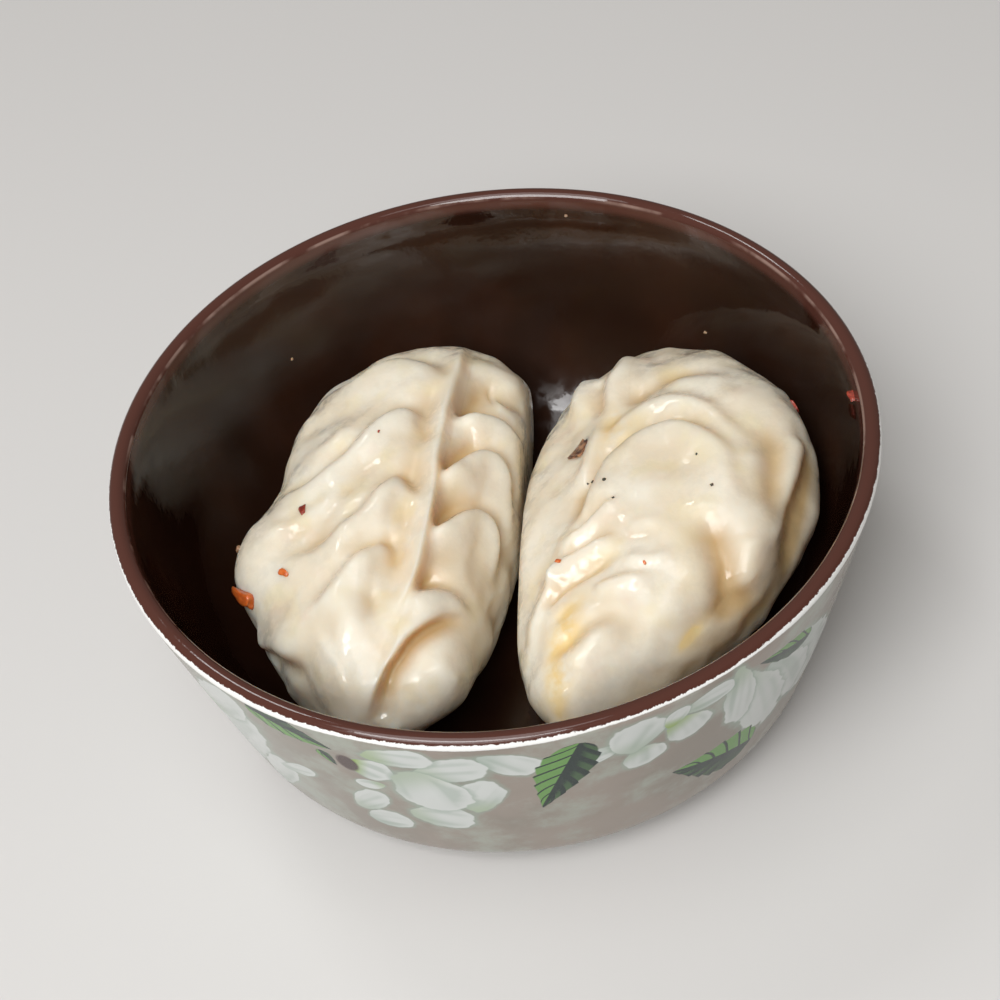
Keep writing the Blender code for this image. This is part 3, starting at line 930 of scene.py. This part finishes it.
def sculpt_left():
    dough = Dough(LEFT)
    dough.rise -= BODY_INSET * MM
    stroke = dough.stroke
    # swellings and dents of the body itself
    for patch in (
        (0.66, 84, 9, 9, 3.0), (0.62, -34, 9, 9, 1.3), (-0.92, -12, 9, 16, 3.4),
        (-0.84, 60, 9, 13, 4.2), (-0.36, -84, 8, 9, 2.4), (0.04, -80, 6, 8, -1.2),
        (-0.63, -78, 4, 8, -1.6), (0.10, -19, 6, 5, 0.9), (-0.19, -14, 4.5, 3.6, 1.6),
        (-0.51, -18, 4.2, 3.6, 1.4), (-0.69, -20, 3.5, 3.2, 1.0), (0.12, 72, 22, 8, 1.3),
        (-0.45, -76, 9, 9, 1.2),
    ):
        dough.spot("rise", *patch)
    # the pleats right of the seam, from the far one to the near one; painted shade tans the
    # trough of the last
    stroke([(0.60, 95), (0.62, 60), (0.60, 34), (0.61, 16), (0.55, 4)],
           0.9, 2.0, 4.0, trough=1.1, end=0.2)
    stroke([(0.22, 0), (0.28, 6), (0.31, 15), (0.33, 26), (0.30, 42), (0.33, 66), (0.30, 92)],
           2.0, 1.7, 3.6, 0.4, trough=1.3, start=0.2, end=0.6)
    stroke([(-0.13, 1), (-0.02, 8), (0.06, 15), (0.12, 24), (0.11, 34), (0.06, 43), (-0.03, 51),
            (-0.14, 56)], 2.3, 1.6, 3.4, 0.5, trough=1.5, start=0.25, end=0.5)
    stroke([(-0.40, 2), (-0.31, 11), (-0.24, 19), (-0.18, 27), (-0.16, 36), (-0.20, 46), (-0.30, 54),
            (-0.42, 58)], 2.3, 1.6, 3.4, 0.5, trough=1.5, start=0.25, end=0.5)
    stroke([(-0.67, 0), (-0.62, 7), (-0.58, 15), (-0.56, 25), (-0.57, 36), (-0.60, 52)],
           1.6, 1.6, 2.2, 0.3, trough=1.3, start=0.25, end=0.6)
    stroke([(-0.54, 60), (-0.56, 47), (-0.58, 37), (-0.62, 26), (-0.68, 14), (-0.75, 4), (-0.84, -3),
            (-0.92, -4), (-0.98, 1)], 2.0, 1.2, 2.0, 0.8, trough=2.2, shade=1.1, start=0.45, end=0.3)
    dough.spot("rise", -0.80, 36, 7, 9, 1.2)
    # hollows between the seam and the pleats, tanned with painted shade
    stroke([(0.32, 3), (0.42, 6), (0.52, 12), (0.58, 20), (0.56, 34)],
           -2.0, 2.4, 3.4, shade=0.9, start=0.1, end=0.6)
    for depth, marks in (
        (1.5, [(-0.02, 3), (0.08, 6), (0.17, 11), (0.24, 18), (0.25, 32)]),
        (1.3, [(-0.30, 4), (-0.20, 8), (-0.11, 13), (-0.05, 21), (-0.04, 34)]),
        (1.2, [(-0.59, 5), (-0.49, 9), (-0.40, 15), (-0.35, 24), (-0.34, 36)]),
    ):
        stroke(marks, -depth, 1.9, 3.0, shade=0.7, start=0.2, end=0.7)
    # the flap of the seam, gentle on its left and steep on its right; painted shade lies faintly
    # in the groove beside it
    groove = [(0.62, -13), (0.44, -11), (0.20, -10), (0.00, -9), (-0.20, -8), (-0.40, -7),
              (-0.60, -8), (-0.76, -12)]
    seam = [(0.90, -6), (0.70, -6), (0.44, -4.5), (0.28, -4.5), (0.07, -3), (-0.14, -1), (-0.33, 0),
            (-0.51, 0.5), (-0.66, -2), (-0.80, -5), (-0.91, -6), (-0.98, 0)]
    stroke(groove, -0.7, 1.5, 1.5, shade=0.15)
    stroke(seam, 1.8, 1.2, 1.6, 0.2, start=0.2, end=0.25, over=True)
    # small creases where the laps of the left flank meet the seam, darkened with painted shade
    for depth, shade, marks in (
        (0.8, 0.4, [(0.25, -14), (0.19, -9), (0.10, -5)]),
        (0.9, 0.6, [(-0.03, -12), (-0.09, -9), (-0.17, -5)]),
        (0.9, 0.6, [(-0.35, -12), (-0.42, -9), (-0.50, -6)]),
        (0.7, 0.3, [(-0.59, -15), (-0.66, -12), (-0.73, -12)]),
    ):
        stroke(marks, -depth, 0.8, 0.8, shade=shade)
    # laps on the left flank
    stroke([(-0.10, -78), (-0.11, -62), (-0.10, -48), (-0.03, -37), (0.06, -30), (0.18, -24),
            (0.26, -17), (0.20, -11), (0.10, -8)], 1.4, 1.4, 5.0, trough=0.7, start=0.3, end=0.2)
    stroke([(-0.48, -44), (-0.40, -32), (-0.32, -25), (-0.26, -20), (-0.17, -16), (-0.09, -12),
            (-0.14, -8), (-0.24, -7)], 1.4, 1.2, 4.0, trough=0.7, start=0.3, end=0.2)
    stroke([(-0.72, -40), (-0.62, -29), (-0.52, -21), (-0.45, -16), (-0.42, -11), (-0.50, -8)],
           1.2, 1.2, 3.5, trough=0.7, start=0.3, end=0.2)
    stroke([(0.48, -64), (0.47, -47), (0.53, -38), (0.57, -28), (0.55, -17), (0.46, -11), (0.34, -9)],
           1.2, 2.0, 4.5, trough=0.7, start=0.3, end=0.2)
    # soft ridges and valleys between them; one valley is faintly darkened with painted shade
    stroke([(0.05, -52), (0.13, -40), (0.24, -32)], 0.6, 1.6, 1.8)
    stroke([(-0.46, -43), (-0.32, -37), (-0.12, -28), (0.00, -22)], -0.7, 1.3, 1.5, shade=0.15)
    stroke([(-0.28, -56), (-0.20, -42), (-0.12, -32)], -0.6, 1.6, 1.6)
    stroke([(-0.34, -62), (-0.28, -50), (-0.20, -40), (-0.14, -30)], 0.5, 1.4, 1.8)
    stroke([(0.26, -66), (0.28, -52), (0.36, -42)], -0.6, 2.4, 2.4)
    # the near end: a fold over a dent at the side, with painted shade in its trough, and a small
    # forked fold
    stroke([(-0.80, -42), (-0.79, -51), (-0.76, -62), (-0.71, -76), (-0.66, -92)],
           1.5, 2.0, 3.4, 0.3, trough=1.3, shade=0.35, start=0.3, end=0.1)
    stroke([(-0.72, -40), (-0.79, -32), (-0.86, -24), (-0.92, -18)], 0.5, 0.6, 0.9, start=0.3, end=0.3)
    stroke([(-0.72, -26), (-0.79, -23), (-0.85, -21)], 0.25, 0.5, 0.8, start=0.3, end=0.3)
    # shallow wrinkles under the arch of the last pleat, one faintly darkened with painted shade
    stroke([(-0.86, 22), (-0.88, 36), (-0.87, 48)], -0.5, 1.0, 1.4, shade=0.1)
    stroke([(-0.76, 34), (-0.78, 46), (-0.76, 58)], 0.5, 1.0, 1.4)
    stroke([(-0.94, 16), (-0.95, 34), (-0.93, 52)], 0.6, 1.0, 1.2)
    # soft folds on the right flank, below the pleats, darkened with painted shade
    for marks in (
        [(0.10, 48), (0.06, 62), (0.08, 80)],
        [(-0.16, 60), (-0.20, 74), (-0.16, 90)],
        [(-0.44, 62), (-0.46, 76), (-0.42, 92)],
    ):
        stroke(marks, -0.8, 1.8, 1.8, shade=0.2)
    dough.lumps(3.0, 7.0, 9.0)
    # painted shade over the right flank, which is turned from the light; then two broth stains
    dough.spot("hollow", -0.10, 42, 32, 12, 0.28)
    dough.spot("stain", -0.45, -8, 4, 3, 0.3)
    dough.spot("stain", -0.16, -8, 5, 2, 0.25)
    return dough


left_dough = sculpt_left()
left_dough.report("left dumpling")

# %% [markdown]
# ## The right dumpling
#
# It leans on its neighbour, so its seam runs down its left side and we look at its broad pleated
# flank. Two pinched ears stand up at the far end, two large rounded laps swing round from them, one
# inside the other, and short gathers cross the seam in the middle. The flank that faces the wall
# bulges in soft upright puffs with valleys between them, and painted shade turns the valleys and
# the lower flank brown.

# %% The right dumpling


def sculpt_right():
    dough = Dough(RIGHT)
    dough.rise -= BODY_INSET * MM
    stroke = dough.stroke
    dough.spot("rise", -0.10, -56, 26, 9, 1.5)
    dough.spot("rise", -0.93, 10, 9, 20, 3.2)
    # the valley behind the laps, then the outer lap, the big inner lap and the line inside it;
    # painted shade tans the valley and the line
    stroke([(0.40, -4), (0.44, 3), (0.49, 11), (0.56, 22), (0.56, 40), (0.50, 58)],
           -1.5, 2.0, 2.2, shade=0.5, end=0.6)
    stroke([(0.17, -8), (0.26, -1), (0.32, 8), (0.35, 18), (0.31, 28), (0.21, 38), (0.08, 45), (-0.06, 52)],
           0.9, 1.7, 1.9, 0.1, trough=0.3, end=0.5)
    stroke([(-0.24, -4), (-0.10, -3), (0.02, 0), (0.10, 6), (0.15, 13), (0.18, 21), (0.12, 32),
            (0.03, 40), (-0.10, 46), (-0.26, 52)], 2.0, 1.6, 5.0, 0.3, trough=0.9, start=0.08, end=0.5)
    stroke([(-0.20, -7), (-0.08, -5), (0.03, -2), (0.11, 5), (0.16, 12)],
           -0.6, 1.5, 1.5, shade=0.7, end=0.3)
    # the right flank: soft upright puffs with valleys between them, browned with painted shade
    stroke([(0.28, 54), (0.18, 61), (0.06, 65), (-0.06, 68), (-0.18, 73), (-0.30, 78)],
           -1.6, 3.2, 3.2, shade=0.7, start=0.3, end=0.4)
    stroke([(0.26, 92), (0.10, 91), (-0.06, 92), (-0.20, 96), (-0.38, 103)],
           -1.3, 2.8, 2.8, shade=0.8)
    stroke([(-0.20, 48), (-0.33, 53), (-0.43, 66), (-0.50, 82), (-0.55, 100)],
           -2.0, 3.0, 4.0, shade=0.75, start=0.3, end=0.2)
    stroke([(0.24, 79), (0.10, 79), (-0.04, 82), (-0.16, 87)], 0.8, 2.6, 2.6)
    stroke([(-0.30, 68), (-0.40, 80), (-0.47, 94)], 1.2, 2.2, 2.2)
    # the gathers that cross the seam, with a crease between them darkened by painted shade
    stroke([(-0.37, -9), (-0.31, -3), (-0.23, 5), (-0.19, 12)], 1.4, 0.9, 1.4, 0.3, trough=0.4)
    stroke([(-0.55, -17), (-0.47, -8), (-0.42, 0), (-0.38, 8), (-0.37, 16)],
           1.7, 1.0, 1.9, 0.3, trough=0.5)
    stroke([(-0.64, -19), (-0.57, -8), (-0.52, 2), (-0.47, 10), (-0.44, 18)],
           -1.1, 0.9, 0.9, shade=0.4)
    stroke([(-0.60, 10), (-0.57, 19), (-0.55, 29), (-0.55, 40)], 0.9, 0.9, 1.6, 0.2, trough=0.3)
    stroke([(-0.46, 18), (-0.47, 28), (-0.45, 35), (-0.39, 36)], 0.7, 0.8, 1.1)
    stroke([(-0.33, 14), (-0.30, 22), (-0.32, 30)], 0.5, 0.9, 1.1)
    # the fold across the near end, and the shallow valley above it, both with some painted shade
    stroke([(-0.88, 3), (-0.82, 18), (-0.76, 27), (-0.72, 42)],
           1.3, 1.4, 3.2, start=0.3, trough=0.9, shade=0.3)
    stroke([(-0.66, -6), (-0.74, 4), (-0.84, 6)], -0.8, 2.0, 2.0, shade=0.1)
    # the seam and the two ears of dough at its far end, with painted shade in the creases beside them
    stroke([(0.36, -11), (0.20, -10), (0.02, -10), (-0.16, -9), (-0.28, -9), (-0.42, -10),
            (-0.54, -15), (-0.64, -21), (-0.76, -27), (-0.86, -40)],
           1.1, 1.1, 2.0, 0.2, start=0.1, end=0.2)
    stroke([(-0.06, -12), (-0.18, -11), (-0.28, -9)], -0.8, 1.0, 1.0, shade=0.6)
    stroke([(0.76, -8), (0.66, -6), (0.56, -8), (0.44, -9), (0.32, -9)], 2.0, 2.5, 2.9, 0.3, end=0.6)
    stroke([(0.68, -30), (0.58, -27), (0.48, -25), (0.33, -18)], 2.3, 2.4, 2.1, -0.3, end=0.6)
    stroke([(0.60, -17), (0.48, -15), (0.34, -12)], -1.2, 1.2, 1.2, shade=0.3)
    dough.lumps(11.0, 17.0, 19.0)
    for patch in (
        (-0.76, 2, 6, 3.4, 1.3), (-0.94, 13, 6, 3.6, 0.9), (-0.68, 84, 1.7, 1.7, 2.4),
        (0.26, -5, 4, 2.5, 0.9), (0.10, 4, 5, 1.8, 0.6), (0.55, 20, 6, 2.5, 0.4), (-0.52, 52, 3, 2, 0.3),
    ):
        dough.spot("stain", *patch)
    # painted shade beside the lap and over the flank that is turned from the light
    for patch in ((0.09, 9, 5, 2.6, 0.35), (-0.30, 104, 28, 10, 0.8), (-0.52, 106, 12, 8, 0.5)):
        dough.spot("hollow", *patch)
    return dough


right_dough = sculpt_right()
right_dough.report("right dumpling")

# %% [markdown]
# ## Steamed dough
#
# Cooked wheat dough is creamy, moist and a little translucent: light enters it, spreads and comes
# out again, which subsurface scattering does. It is painted a deeper tan in creases, in the hollows
# beside the seams and on flanks turned from the light: painted shade, with a little of the dough's
# own deeper tone where folds are thick. It is yellow where broth has stained it, and painted paler
# on high ridges as painted light. These masks are worked out with the folds and stored on the
# vertices, so the colour follows the sculpted shape. A clear coat in patches makes the wet glints.

# %% Steamed dough
CREAM = (0.69, 0.600, 0.455)
CREAM_PALE = (0.74, 0.685, 0.570)
SHADE_TAN = (0.47, 0.31, 0.145)
YOLK = (0.72, 0.525, 0.235)
ROSY = (0.70, 0.52, 0.40)
ROSY_SHIFT = (40.0, 10.0, 0.0)  # keeps the rosy clouds apart from the others, in millimetres
BUTTER = (0.71, 0.61, 0.38)
SKIN_RELIEF = 0.08
SCATTER_COLOURS = (1.0, 0.55, 0.26)  # red light travels farthest in the dough
SCATTER_DISTANCE = 4.5 * MM
# the masks: tan painted shade, broth stains, and painted light that makes ridges paler
MASKS = ("hollow", "stain", "thin")


def make_dough_material():
    material, tree, shader = new_material("steamed_dough_skin")
    place = millimetres(tree)
    masks = {}
    for label in MASKS:
        step = tree.nodes.new("ShaderNodeAttribute")
        step.attribute_name = label
        masks[label] = step.outputs["Fac"]
    # cream, with buttery and rosy clouds of their own sizes
    colour = blend(tree, ramp(tree, grain(tree, place, 9, 3), 0.36, 0.66), CREAM, CREAM_PALE)
    butter = times(tree, ramp(tree, grain(tree, place, 7, 2), 0.5, 0.7), 0.55)
    colour = blend(tree, butter, colour, BUTTER)
    shifted = tree.nodes.new("ShaderNodeVectorMath")
    wire(tree, place, shifted.inputs[0])
    shifted.inputs[1].default_value = ROSY_SHIFT
    rosy = times(tree, ramp(tree, grain(tree, shifted.outputs[0], 5, 2), 0.55, 0.8), 0.3)
    colour = blend(tree, rosy, colour, ROSY)
    # the masks of the folds: painted shade in tan, partly the dough's own deeper tone where thick
    painted_shade = calc(tree, "MULTIPLY", masks["hollow"], 0.85, clamp=True)
    colour = blend(tree, painted_shade, colour, SHADE_TAN)
    patchy = ramp(tree, grain(tree, place, 2.5, 3), 0.2, 0.6)
    patchy = calc(tree, "MULTIPLY", masks["stain"], patchy, clamp=True)
    colour = blend(tree, patchy, colour, YOLK)
    # painted light: high ridges are made paler, as if lit
    lit_ridges = calc(tree, "MULTIPLY", masks["thin"], 0.5, clamp=True)
    colour = blend(tree, lit_ridges, colour, CREAM_PALE)
    wire(tree, colour, shader.inputs["Base Color"])
    dull = calc(tree, "MULTIPLY_ADD", grain(tree, place, 4, 3), 0.25, 0.38)
    wire(tree, dull, shader.inputs["Roughness"])
    shader.inputs["IOR"].default_value = 1.45
    shader.subsurface_method = "BURLEY"  # softer folds and a quicker render than a random walk
    shader.inputs["Subsurface Weight"].default_value = 0.9
    shader.inputs["Subsurface Radius"].default_value = SCATTER_COLOURS
    shader.inputs["Subsurface Scale"].default_value = SCATTER_DISTANCE
    # small wet spots inside larger wet areas, and the fine relief of the skin
    wet = ramp(tree, grain(tree, place, 1.7, 3, 0.6), 0.42, 0.58)
    wet = times(tree, wet, ramp(tree, grain(tree, place, 8, 2), 0.36, 0.54))
    wire(tree, calc(tree, "MULTIPLY_ADD", wet, 0.85, 0.08), shader.inputs["Coat Weight"])
    shader.inputs["Coat Roughness"].default_value = 0.05
    fine = times(tree, grain(tree, place, 0.8, 2), 0.18)
    add_bump(tree, shader, calc(tree, "ADD", grain(tree, place, 2.2, 2), fine), SKIN_RELIEF)
    return material


dough_skin = make_dough_material()
print("steamed dough with the masks", *MASKS)

# %% [markdown]
# ## Laying the dumplings in the bowl
#
# The folds are lifted off the body all at once and blended a little, so no stroke leaves a hard
# edge. Then the dumpling is rolled, turned and set down, and where it would sink into the floor,
# the wall or its neighbour it is pressed flat, as soft dough is. Comparing each place with a wide
# surrounding tells how deep it lies: deep places get painted shade in the tan mask, high ones
# painted light in the pale one.

# %% Where the dumplings are pressed flat
GAP = 0.3 * MM  # kept free between the dough, the bowl and the other dumpling
SOFTNESS = 2.0 * MM  # the dough starts to give way this far before it would touch
# the dumplings lean together along a line through this point, turned by these degrees
PARTING_POINT = (3.0 * MM, 3.0 * MM)
PARTING_TURN = 10.0


def soften(clearance):
    """Clearances that never go below zero and bend gradually as they get there."""
    bent = (clearance + SOFTNESS) ** 2 / (4 * SOFTNESS)
    return np.where(clearance > SOFTNESS, clearance, np.where(clearance < -SOFTNESS, 0.0, bent))


def settle(points, side):
    """Flattens the dough on the floor, on the wall and where the dumplings lean together."""
    floor = FLOOR_HEIGHT + GAP
    z = floor + soften(points[:, 2] - floor)
    radius = np.hypot(points[:, 0], points[:, 1])
    wall = inner_radius(z) - GAP
    shrink = (wall - soften(wall - radius)) / np.maximum(radius, 1e-9)
    flat = points[:, :2] * shrink[:, None]
    turn = math.radians(PARTING_TURN)
    across = np.array([math.cos(turn), -math.sin(turn)])
    offset = (flat - np.array(PARTING_POINT)) @ across
    clear = GAP + soften(side * offset - GAP)
    flat = flat + (side * clear - offset)[:, None] * across
    return np.column_stack([flat, z])


def lay_in_bowl(momo, points):
    """Rolls, turns and sets an upright body down in the bowl."""
    middle = Matrix.Translation((0, 0, momo["belly"]))
    roll = Matrix.Rotation(math.radians(momo["roll"]), 4, "Y")
    heading = Matrix.Rotation(math.radians(-momo["heading"]), 4, "Z")
    stand = Matrix.Translation((*momo["place"], FLOOR_HEIGHT))
    to_bowl = np.array(stand @ heading @ middle @ roll @ middle.inverted())
    return settle(points @ to_bowl[:3, :3].T + to_bowl[:3, 3], momo["side"])


print("the parting line is turned by", PARTING_TURN, "degrees")

# %% Lay the dumplings in the bowl
SOFT_ROUNDS = 5  # rounds of blending that round off the folds
CAVITY_ROUNDS = 90  # more rounds compare each place with a wider surrounding
CAVITY_SHARE = 0.5  # how much the depth adds to the mask of the hollows, as painted shade
LEVEL = 0.05  # places less deep or high than this count as level, in millimetres
# depth for full painted shade, and height for full painted light on a ridge, in millimetres
DEEP = 0.6
HIGH = 0.4
KEPT = 0.4  # the share of its own value that a vertex keeps in one round


def edge_ends(shape):
    return np.array([(edge.verts[0].index, edge.verts[1].index) for edge in shape.edges])


def smooth_out(values, ends, rounds):
    """Blends each vertex's values with those of its neighbours, over and over."""
    share = np.bincount(ends.ravel(), minlength=len(values))
    values = values.copy()
    for _ in range(rounds):
        for column in range(values.shape[1]):
            flow = np.bincount(ends[:, 0], weights=values[ends[:, 1], column], minlength=len(values))
            flow += np.bincount(ends[:, 1], weights=values[ends[:, 0], column], minlength=len(values))
            values[:, column] = KEPT * values[:, column] + (1 - KEPT) * flow / share
    return values


def finish_dough(name, dough, replaced):
    """Lifts the folds, lays the dumpling in the bowl, makes its piece and stores its masks."""
    ends = edge_ends(dough.shape)
    lift = smooth_out(dough.normals * dough.rise[:, None] + dough.shift, ends, SOFT_ROUNDS)
    dough.laid = lay_in_bowl(dough.momo, dough.points + lift)
    write_points(dough.shape, dough.laid)
    dough.outward = read_normals(dough.shape)
    surrounding = smooth_out(dough.laid, ends, CAVITY_ROUNDS)
    depth = np.einsum("ij,ij->i", surrounding - dough.laid, dough.outward) / MM
    # recesses get painted shade, and high ridges painted light
    dough.hollow = dough.hollow + CAVITY_SHARE * np.clip((depth - LEVEL) / DEEP, 0, 1)
    dough.thin = np.clip((-depth - LEVEL) / HIGH, 0, 1)
    masks = smooth_out(np.column_stack([dough.hollow, dough.stain, dough.thin]), ends, SOFT_ROUNDS)
    piece = finish_piece(name, dough.shape, [dough_skin], replaced)
    for label, mask in zip(MASKS, masks.T):
        store = piece.data.attributes.new(label, "FLOAT", "POINT")
        store.data.foreach_set("value", mask.astype(np.float32))


finish_dough("left_momo", left_dough, "momo_left")
finish_dough("right_momo", right_dough, "momo_right")

# %% [markdown]
# ## Flecks of vegetable and spice
#
# Bits of the filling and the dip cling to the skin: cut carrot, chilli skin, ground pepper and a
# few crumbs on the wall. They could be painted, but a bit has a thickness and a shadow, so each is
# a small mesh. A chip starts as a ball whose sides are cut off flat, as a knife leaves them, and
# noise makes every one different. All the chips of one kind are one piece.

# %% Places for the chips
CUT = 0.72  # the flat cuts lie at this share of the ball's radius
ROUGHNESS = 0.35
TINY = {"fineness": 2}


def on_dough(dough, s, t):
    """The place and outward direction on a finished dumpling at s and t."""
    apart = ((dough.s - s) * dough.momo["length"] / 2 / MM) ** 2 + ((dough.t - t) * DEGREE) ** 2
    nearest = int(np.argmin(apart))
    return Vector(dough.laid[nearest]), Vector(dough.outward[nearest])


def on_wall(bearing, height):
    """The place and inward direction on the inner wall, bearing from the front to the right."""
    turn = math.radians(bearing)
    radius = float(inner_radius(height * MM))
    tilt = math.radians(90 - WALL_TILT)
    inward = Vector((-math.sin(turn) * math.cos(tilt), math.cos(turn) * math.cos(tilt), math.sin(tilt)))
    return Vector((radius * math.sin(turn), -radius * math.cos(turn), height * MM)), inward


def add_chip(shape, spot, size, turn, seed, taper=0.0, curl=0.0, fineness=3):
    """One chip; size is its length, width and thickness in millimetres, turn is from the back.

    With taper one end is wider than the other, with curl both ends stand up.
    """
    place, outward = spot
    back = (Vector((0, 1, 0)) - outward * outward.y).normalized()
    back = Matrix.Rotation(math.radians(turn), 3, outward) @ back
    across = back.cross(outward)
    chip = bmesh.ops.create_icosphere(shape, subdivisions=fineness, radius=1.0)["verts"]
    for vertex in chip:
        rough = 1 + ROUGHNESS * noise.noise(vertex.co * 1.4 + Vector((seed, 0, 0)))
        along, wide, up = (max(-CUT, min(CUT, c)) / CUT * rough for c in vertex.co)
        wide *= 1 + taper * along
        up = (0.5 * up + 0.3) * size[2] + curl * along * along
        local = back * along * size[0] / 2 + across * wide * size[1] / 2 + outward * up
        vertex.co = place + local * MM


print("chips can be placed")

# %% [markdown]
# ## What the chips are made of
#
# Every kind has a bright and a dark tone that mix in grains of its own size, a dull and rough
# surface with the same grains, and its own wetness: cut carrot glistens, ground pepper and dry
# crumbs hardly do. That surface is one node group with other values in each of the materials. A
# little scattering keeps the thin edges from looking like painted card.

# %% What the chips are made of


def make_chip_group():
    inputs = {"Place": "Vector", "Size": "Float", "Dark": "Color", "Bright": "Color"}
    outputs = {"Colour": "Color", "Roughness": "Float", "Relief": "Float"}
    tree, entry, leave = new_group("chip_surface", inputs, outputs)
    place, size = entry["Place"], entry["Size"]
    tones = ramp(tree, grain(tree, place, size, 3), 0.35, 0.65)
    wire(tree, blend(tree, tones, entry["Dark"], entry["Bright"]), leave["Colour"])
    wire(tree, calc(tree, "MULTIPLY_ADD", grain(tree, place, size, 2), 0.2, 0.3), leave["Roughness"])
    wire(tree, grain(tree, place, times(tree, size, 0.6), 3), leave["Relief"])
    return tree


chip_group = make_chip_group()


def make_chip_material(name, bright, dark, size, wetness):
    material, tree, shader = new_material(name)
    surface = use_group(tree, chip_group, millimetres(tree), size, dark, bright)
    wire(tree, surface["Colour"], shader.inputs["Base Color"])
    wire(tree, surface["Roughness"], shader.inputs["Roughness"])
    shader.inputs["Subsurface Weight"].default_value = 0.4
    shader.inputs["Subsurface Scale"].default_value = 0.5 * MM
    shader.inputs["Coat Weight"].default_value = wetness
    shader.inputs["Coat Roughness"].default_value = 0.08
    add_bump(tree, shader, surface["Relief"], 0.08)
    return material


carrot = make_chip_material("cut_carrot", (0.66, 0.150, 0.022), (0.50, 0.100, 0.016), 1.2, 0.7)
chilli = make_chip_material("chilli_skin", (0.38, 0.055, 0.028), (0.20, 0.024, 0.014), 0.7, 0.5)
toasted = make_chip_material("toasted_skin", (0.40, 0.20, 0.10), (0.060, 0.022, 0.015), 1.1, 0.5)
pepper = make_chip_material("ground_pepper", (0.055, 0.050, 0.030), (0.022, 0.019, 0.012), 0.3, 0.2)
crumb = make_chip_material("dry_crumb", (0.40, 0.27, 0.17), (0.26, 0.15, 0.08), 0.5, 0.0)
print("five materials for the chips")

# %% [markdown]
# ## Laying the chips
#
# Each chip is laid where bits like it end up: carrot and chilli from the filling near the folds,
# a toasted flake beside the seam, pepper scattered over the broad flank, and crumbs that stick to
# the wall and the dough. A row says where a chip lies, how large it is, how far it is turned,
# which noise shapes it and, where it matters, how it tapers or curls or that it is tiny.

# %% Lay the chips


def lay_chips(name, material, *rows):
    chips = bmesh.new()
    for spot, size, turn, seed, options in rows:
        add_chip(chips, spot, size, turn, seed, **options)
    finish_piece(name, chips, [material])


lay_chips(
    "carrot_bits", carrot,
    (on_dough(left_dough, -0.52, -80), (4.7, 1.8, 1.4), 23, 1.0, {"taper": -0.2}),
    (on_dough(left_dough, -0.51, -52), (1.8, 0.9, 0.5), 40, 2.0, {"taper": 0.2}),
    (on_dough(right_dough, -0.47, -8), (0.9, 0.6, 0.2), 60, 3.0, TINY),
    (on_dough(right_dough, -0.49, 29), (0.6, 0.4, 0.2), 10, 4.0, TINY),
)
lay_chips(
    "chilli_flakes", chilli,
    (on_dough(left_dough, -0.23, -46), (1.7, 1.0, 0.4), 5, 5.0, {"taper": 0.3}),
    (on_dough(left_dough, 0.13, -22), (0.5, 0.3, 0.15), -20, 6.0, TINY),
    (on_dough(right_dough, 0.47, 87), (1.9, 1.3, 0.5), 30, 7.0, {}),
    (on_wall(87, 43.9), (2.0, 1.1, 0.3), 0, 8.0, {"taper": 0.2}),
)
lay_chips(
    "toasted_flake", toasted,
    (on_dough(right_dough, 0.17, -17), (3.4, 2.6, 0.4), -40, 9.0, {"taper": -0.4, "curl": 0.3}),
)
# s, t and length in millimetres of each speck of pepper
SPECKS = [
    (-0.09, -3, 0.50), (-0.10, 2, 0.55), (-0.14, 41, 0.50), (0.01, 32, 0.35), (-0.05, -9, 0.35),
    (0.01, -4, 0.40), (-0.20, 7, 0.35),
]
lay_chips("pepper_specks", pepper, *(
    (on_dough(right_dough, s, t), (size, 0.8 * size, 0.5 * size), 50.0 * i, 10.0 + i, TINY)
    for i, (s, t, size) in enumerate(SPECKS)
))
lay_chips(
    "pale_crumbs", crumb,
    (on_wall(160, 42.9), (0.7, 0.5, 0.3), 0, 21.0, TINY),
    (on_wall(131, 27.9), (0.6, 0.5, 0.3), 40, 22.0, TINY),
    (on_wall(-143, 30.0), (0.6, 0.4, 0.3), 10, 23.0, TINY),
    (on_dough(left_dough, -0.30, -83), (1.3, 0.9, 0.6), 70, 24.0, TINY),
)
